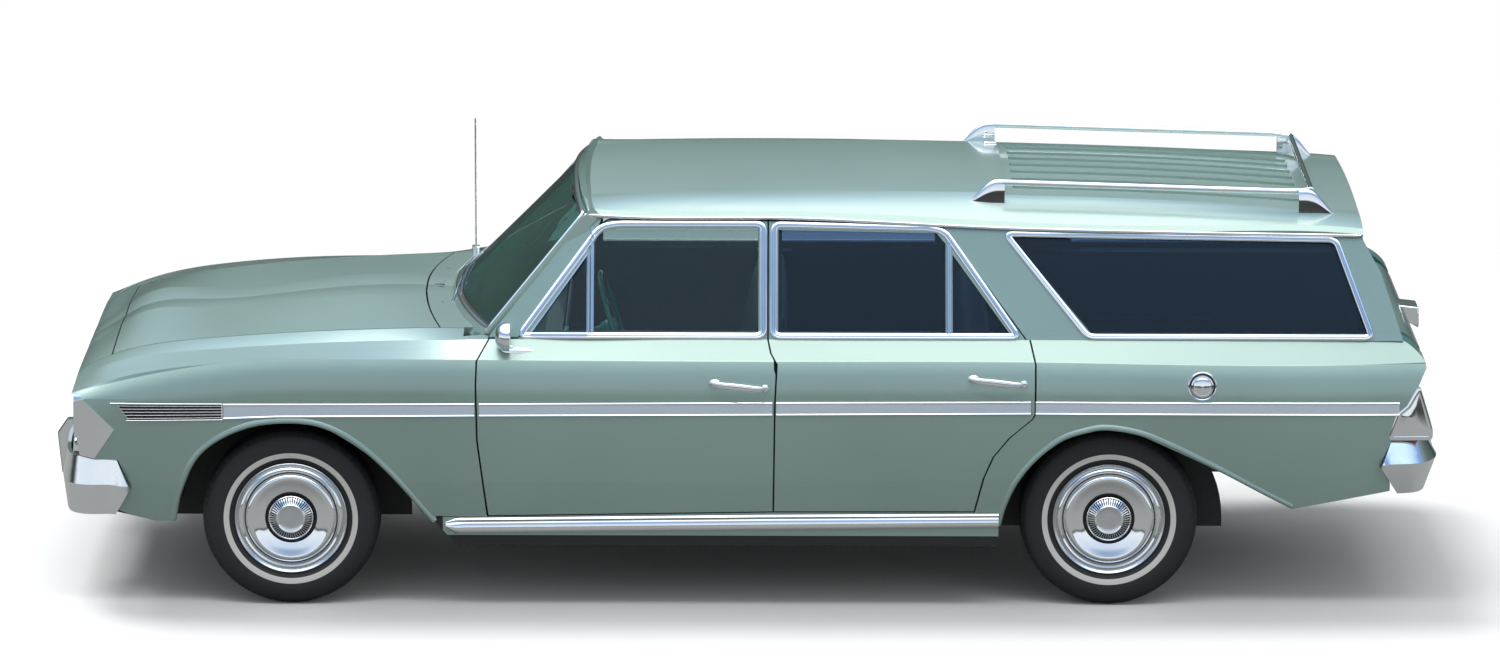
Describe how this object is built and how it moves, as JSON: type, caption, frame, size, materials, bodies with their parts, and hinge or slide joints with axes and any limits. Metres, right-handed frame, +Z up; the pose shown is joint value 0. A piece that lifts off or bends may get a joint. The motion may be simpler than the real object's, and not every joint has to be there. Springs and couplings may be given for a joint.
{
  "type": "station wagon",
  "caption": "Four-door mid-size station wagon of the 1960s with a rear cargo bay, drop tailgate, roof rack, opening doors and hood, steered front wheels and rolling wheels.",
  "frame": {"origin": "on the floor, midway between the bumper tips, on the centreline", "axes": "+X forward, +Y to the left of the car, +Z up"},
  "size_m": [4.836, 1.8312, 1.4623],
  "materials": {
    "paint": "gloss",
    "glass": "gloss",
    "chrome": "polished",
    "lamp_red": "gloss",
    "tyre": "matt",
    "wheel": "polished",
    "chassis": "matt",
    "trim": "satin",
    "upholstery": "satin"
  },
  "bodies": {
    "body_shell": {"roof": "paint", "cowl": "paint", "header_panel": "paint", "rear_panel": "paint", "front_fender_left": "paint", "front_fender_right": "paint", "quarter_panel_left": "paint", "quarter_panel_right": "paint", "windscreen": "glass", "tail_glass": "glass", "quarter_glass_left": "glass", "quarter_glass_right": "glass", "front_bumper": "chrome", "rear_bumper": "chrome", "grille": "chrome", "headlamps": "chrome", "roof_rack": "chrome", "antenna": "chrome", "fuel_cap": "chrome", "tail_lamp_left": "lamp_red", "tail_lamp_right": "lamp_red", "front_crossmember": "chassis", "rear_axle": "chassis", "underbody": "chassis", "front_panel": "chassis", "engine_block": "chassis", "exhaust": "chassis", "fuel_tank": "chassis", "dashboard": "trim", "centre_post_left": "trim", "centre_post_right": "trim", "front_bench": "upholstery", "rear_bench": "upholstery"},
    "knuckle_left": {"knuckle_left": "chassis"},
    "knuckle_right": {"knuckle_right": "chassis"},
    "front_left_wheel": {"tyre_front_left": "tyre", "wheel_front_left": "wheel"},
    "front_right_wheel": {"tyre_front_right": "tyre", "wheel_front_right": "wheel"},
    "rear_left_wheel": {"tyre_rear_left": "tyre", "wheel_rear_left": "wheel"},
    "rear_right_wheel": {"tyre_rear_right": "tyre", "wheel_rear_right": "wheel"},
    "front_left_door": {"front_door_left": "paint", "front_door_glass_left": "glass", "door_mirror": "chrome"},
    "front_right_door": {"front_door_right": "paint", "front_door_glass_right": "glass"},
    "rear_left_door": {"rear_door_left": "paint", "rear_door_glass_left": "glass"},
    "rear_right_door": {"rear_door_right": "paint", "rear_door_glass_right": "glass"},
    "hood": {"hood": "paint"},
    "tailgate": {"tailgate": "paint"},
    "steering_wheel": {"steering_wheel": "trim"}
  },
  "joints": [
    {"name": "steer_left", "type": "hinge", "parent": "body_shell", "child": "knuckle_left", "pos_m": [1.58, 0.649, 0.31], "axis": [0, 0, 1], "range_deg": [-32, 32]},
    {"name": "steer_right", "type": "hinge", "parent": "body_shell", "child": "knuckle_right", "pos_m": [1.58, -0.649, 0.31], "axis": [0, 0, 1], "range_deg": [-32, 32]},
    {"name": "steering_wheel_turn", "type": "hinge", "parent": "body_shell", "child": "steering_wheel", "pos_m": [0.455, 0.37, 0.893], "axis": [-0.9563, 0, 0.2924], "range_deg": [-512, 512]},
    {"name": "front_left_roll", "type": "hinge", "parent": "knuckle_left", "child": "front_left_wheel", "pos_m": [1.58, 0.744, 0.31], "axis": [0, 1, 0], "continuous": true},
    {"name": "front_right_roll", "type": "hinge", "parent": "knuckle_right", "child": "front_right_wheel", "pos_m": [1.58, -0.744, 0.31], "axis": [0, 1, 0], "continuous": true},
    {"name": "rear_left_roll", "type": "hinge", "parent": "body_shell", "child": "rear_left_wheel", "pos_m": [-1.265, 0.73, 0.31], "axis": [0, 1, 0], "continuous": true},
    {"name": "rear_right_roll", "type": "hinge", "parent": "body_shell", "child": "rear_right_wheel", "pos_m": [-1.265, -0.73, 0.31], "axis": [0, 1, 0], "continuous": true},
    {"name": "front_left_door_swing", "type": "hinge", "parent": "body_shell", "child": "front_left_door", "pos_m": [0.92, 0.902, 0.65], "axis": [0, 0, -1], "range_deg": [0, 65]},
    {"name": "front_right_door_swing", "type": "hinge", "parent": "body_shell", "child": "front_right_door", "pos_m": [0.92, -0.902, 0.65], "axis": [0, 0, 1], "range_deg": [0, 65]},
    {"name": "rear_left_door_swing", "type": "hinge", "parent": "body_shell", "child": "rear_left_door", "pos_m": [-0.114, 0.902, 0.65], "axis": [0, 0, -1], "range_deg": [0, 65]},
    {"name": "rear_right_door_swing", "type": "hinge", "parent": "body_shell", "child": "rear_right_door", "pos_m": [-0.114, -0.902, 0.65], "axis": [0, 0, 1], "range_deg": [0, 65]},
    {"name": "hood_swing", "type": "hinge", "parent": "body_shell", "child": "hood", "pos_m": [1.06, 0, 0.955], "axis": [0, -1, 0], "range_deg": [0, 50]},
    {"name": "tailgate_swing", "type": "hinge", "parent": "body_shell", "child": "tailgate", "pos_m": [-2.3, 0, 0.64], "axis": [0, -1, 0], "range_deg": [0, 90]}
  ],
  "couplings": [
    {"joint": "steer_right", "follows": "steer_left", "ratio": 1},
    {"joint": "steering_wheel_turn", "follows": "steer_left", "ratio": 16}
  ]
}
